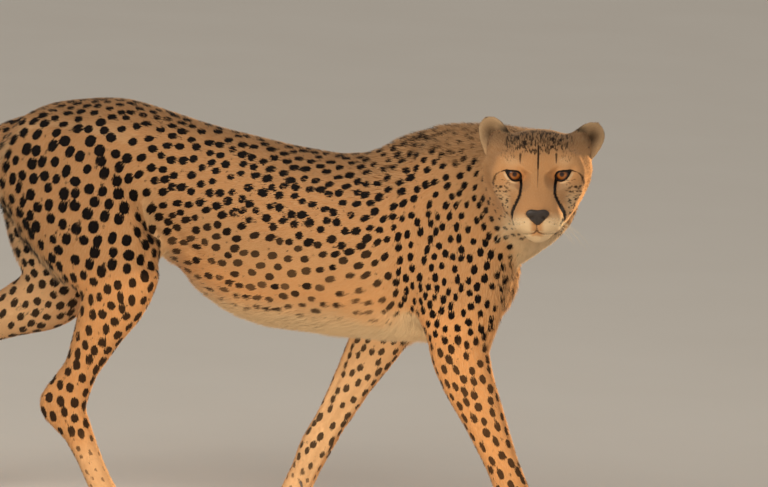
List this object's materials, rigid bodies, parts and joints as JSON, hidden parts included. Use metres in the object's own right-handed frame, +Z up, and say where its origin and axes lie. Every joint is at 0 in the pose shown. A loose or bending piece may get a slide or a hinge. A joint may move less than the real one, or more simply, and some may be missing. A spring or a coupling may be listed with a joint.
{
  "type": "life-size cheetah figure",
  "caption": "Walking cheetah, life size, with its head turned to its right, a spotted coat, rounded cupped ears, blunt claws and a long tail that curves up at its tip.",
  "frame": {"origin": "on the floor under the middle of the whole animal's bounding box", "axes": "+X from the tail towards the chest, +Y to the animal's left, +Z up; the face is turned towards -Y"},
  "size_m": [1.4882, 0.3856, 0.6778],
  "materials": {
    "fur": "short warm tan coat with solid black spots and a cream underside",
    "eye": "wet amber iris with a small round pupil",
    "nose_leather": "moist charcoal",
    "claw": "dull dark horn"
  },
  "bodies": {
    "root": {"claw_front_left_1": "claw", "claw_front_left_2": "claw", "claw_front_left_3": "claw", "claw_front_left_4": "claw", "claw_front_right_1": "claw", "claw_front_right_2": "claw", "claw_front_right_3": "claw", "claw_front_right_4": "claw", "claw_hind_left_1": "claw", "claw_hind_left_2": "claw", "claw_hind_left_3": "claw", "claw_hind_left_4": "claw", "claw_hind_right_1": "claw", "claw_hind_right_2": "claw", "claw_hind_right_3": "claw", "claw_hind_right_4": "claw", "dewclaw_front_left": "claw", "dewclaw_front_right": "claw", "ear_left": "fur", "ear_right": "fur", "eye_left": "eye", "eye_right": "eye", "forearm_front_left": "fur", "forearm_front_right": "fur", "head": "fur", "neck": "fur", "nose": "nose_leather", "paw_front_left": "fur", "paw_front_right": "fur", "paw_hind_left": "fur", "paw_hind_right": "fur", "shank_hind_left": "fur", "shank_hind_right": "fur", "tail_middle": "fur", "tail_root": "fur", "tail_tip": "fur", "thigh_hind_left": "fur", "thigh_hind_right": "fur", "trunk": "fur", "upper_arm_front_left": "fur", "upper_arm_front_right": "fur"}
  },
  "joints": []
}
